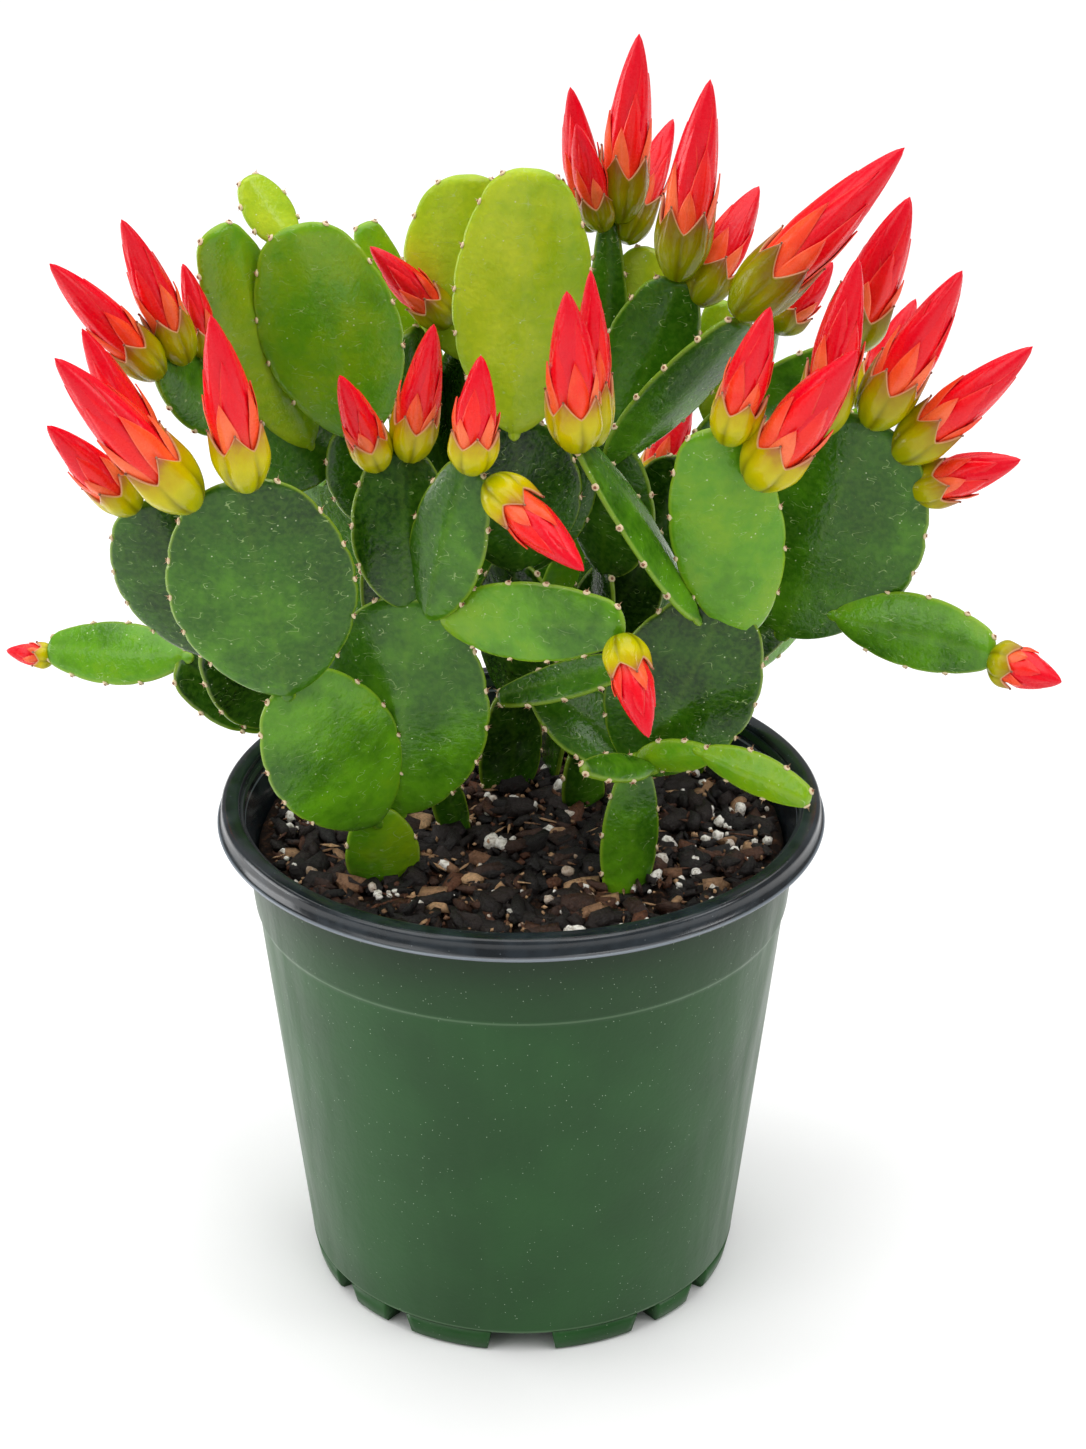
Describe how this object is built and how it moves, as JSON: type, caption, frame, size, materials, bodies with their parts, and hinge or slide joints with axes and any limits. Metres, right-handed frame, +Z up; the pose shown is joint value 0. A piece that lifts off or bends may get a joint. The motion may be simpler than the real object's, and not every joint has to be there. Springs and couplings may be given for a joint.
{
  "type": "potted easter cactus",
  "caption": "Easter cactus with flat notched leafy stems and closed red flower buds in a tapered green nursery pot filled with soil",
  "frame": {"origin": "middle of the plant's width and depth, on the plane the pot's feet stand on, which is also the pot's axis", "axes": "+Z up; -Y is the side the plant was seen from, with the round pad and its buds at the left; +X is to the right of that side"},
  "size_m": [0.191, 0.1333, 0.241],
  "materials": {
    "pot": "satin green outside, black lip and inside",
    "soil": "dry bark and peat mix with white perlite grains",
    "stem": "waxy green skin",
    "bud": "satin red petals"
  },
  "bodies": {
    "root": {"bud_back_1": "bud", "bud_back_2": "bud", "bud_back_3": "bud", "bud_back_4": "bud", "bud_back_5": "bud", "bud_back_6": "bud", "bud_left_1": "bud", "bud_left_2": "bud", "bud_left_3": "bud", "bud_left_4": "bud", "bud_left_5": "bud", "bud_left_6": "bud", "bud_left_7": "bud", "bud_left_8": "bud", "bud_middle_1": "bud", "bud_middle_2": "bud", "bud_middle_3": "bud", "bud_middle_4": "bud", "bud_middle_5": "bud", "bud_middle_6": "bud", "bud_middle_7": "bud", "bud_middle_8": "bud", "bud_right_1": "bud", "bud_right_2": "bud", "bud_right_3": "bud", "bud_right_4": "bud", "bud_right_5": "bud", "bud_right_6": "bud", "bud_right_7": "bud", "bud_right_8": "bud", "bud_right_9": "bud", "bud_top_1": "bud", "bud_top_2": "bud", "bud_top_3": "bud", "bud_top_4": "bud", "bud_top_5": "bud", "bud_top_6": "bud", "bud_top_7": "bud", "pot": "pot", "soil": "soil", "stem_back": "stem", "stem_back_left": "stem", "stem_back_right": "stem", "stem_centre": "stem", "stem_centre_left": "stem", "stem_centre_right": "stem", "stem_front_left": "stem", "stem_front_middle": "stem", "stem_front_right": "stem", "stem_left": "stem", "stem_right": "stem", "stem_right_back": "stem"}
  },
  "joints": []
}
